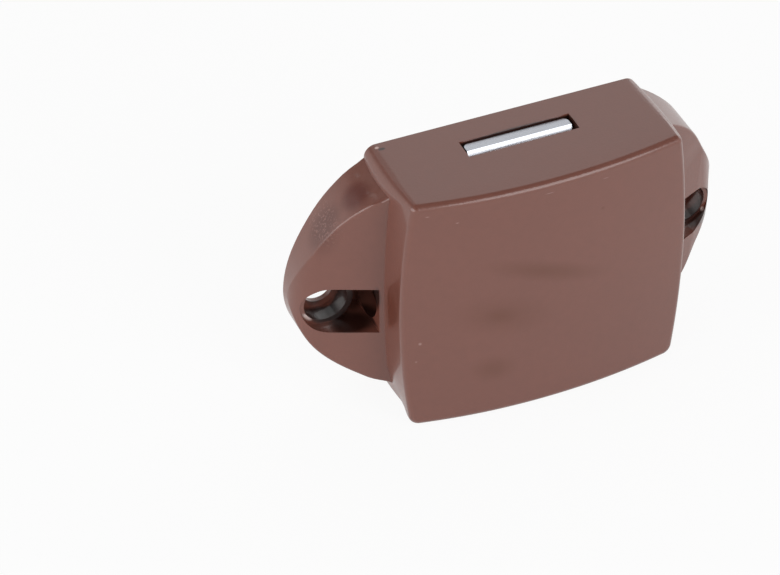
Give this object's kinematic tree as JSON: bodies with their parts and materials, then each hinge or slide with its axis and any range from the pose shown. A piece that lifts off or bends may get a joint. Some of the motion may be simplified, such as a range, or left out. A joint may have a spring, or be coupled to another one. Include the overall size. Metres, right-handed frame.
{
  "type": "pushbutton cabinet lock",
  "caption": "Surface-mounted cabinet lock with a bowed moulded body, two screw ears and a spring bolt drawn by a push spindle behind it.",
  "frame": {"origin": "where the spindle's axis meets the mounting face, midway between the two screw holes", "axes": "+X along the lock, +Y out of the mounting face into the door, +Z the way the bolt comes out"},
  "size_m": [0.0748, 0.0299, 0.0436],
  "materials": {
    "body_plastic": "brown moulded plastic with a soft gloss",
    "cover_plastic": "brown moulded plastic, duller than the body",
    "screw_steel": "zinc-plated steel",
    "bolt_metal": "bright zinc plate on a drawn bar",
    "spring_steel": "bright spring steel",
    "plunger_plastic": "natural acetal",
    "spindle_metal": "turned brass",
    "barrel_metal": "nickel-plated turned barrel"
  },
  "bodies": {
    "case": {"housing": "body_plastic", "back_cover": "cover_plastic", "cover_screws": "screw_steel", "threaded_barrel": "barrel_metal", "bolt_spring_left": "spring_steel", "bolt_spring_right": "spring_steel", "plunger_spring": "spring_steel", "catch_leaf_spring": "spring_steel", "catch_spring_screw": "screw_steel"},
    "push_spindle": {"cam_plunger": "plunger_plastic", "spindle": "spindle_metal", "spindle_clip": "spring_steel"},
    "bolt": {"latch_bolt": "bolt_metal"},
    "catch": {"catch_wire": "spring_steel"}
  },
  "joints": [
    {"name": "spindle_push", "type": "slide", "parent": "case", "child": "push_spindle", "axis": [0, -1, 0], "range_m": [0, 0.006], "stiffness_N_per_m": 400, "springref_m": -0.008, "deforming": ["plunger_spring"]},
    {"name": "bolt_slide", "type": "slide", "parent": "case", "child": "bolt", "axis": [0, 0, 1], "range_m": [0, 0.006], "deforming": ["bolt_spring_left", "bolt_spring_right"]},
    {"name": "catch_swing", "type": "hinge", "parent": "case", "child": "catch", "pos_m": [0, -0.0165, 0.012], "axis": [0, 0, -1], "range_deg": [0, 20]}
  ],
  "couplings": [
    {"joint": "bolt_slide", "follows": "spindle_push", "ratio": 1},
    {"joint": "catch_swing", "follows": "spindle_push", "rad_per_m": 58.17}
  ]
}
